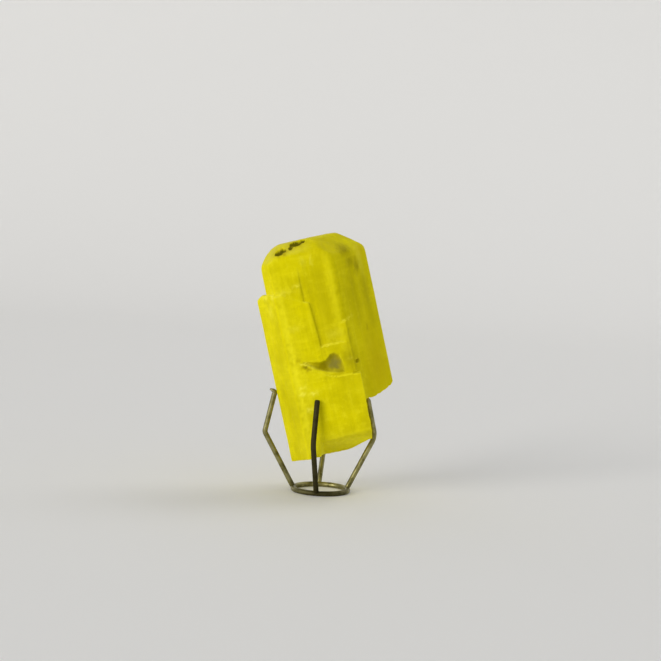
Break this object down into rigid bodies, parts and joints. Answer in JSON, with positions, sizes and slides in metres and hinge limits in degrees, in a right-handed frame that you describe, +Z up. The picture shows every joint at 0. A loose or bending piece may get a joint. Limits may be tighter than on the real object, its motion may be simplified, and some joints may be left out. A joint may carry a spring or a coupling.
{
  "type": "apatite crystal on a wire stand",
  "caption": "Lemon-yellow fluorescent apatite crystal, a leaning cluster of parallel hexagonal prisms with a broken corner, resting in a small stand of bent wire prongs on a wire ring.",
  "frame": {"origin": "on the ground, under the middle of the object's bounding box, close under the centre of the wire ring", "axes": "+Z up; +X to the right of someone facing the crystal's front; the crystal's long axis leans 15 degrees from +Z towards -X"},
  "size_m": [0.0341, 0.028, 0.0645],
  "materials": {
    "apatite": "opaque lemon-yellow mineral with a waxy lustre, matt breaks and small brown pits",
    "plated_wire": "pale warm plated wire with fine scratches",
    "solder": "dull grey solder, slightly rough"
  },
  "bodies": {
    "root": {"crystal": "apatite", "base_ring": "plated_wire", "prong_left": "plated_wire", "prong_right": "plated_wire", "prong_front": "plated_wire", "prong_rear": "plated_wire", "solder_left": "solder", "solder_right": "solder", "solder_front": "solder", "solder_rear": "solder"}
  },
  "joints": []
}
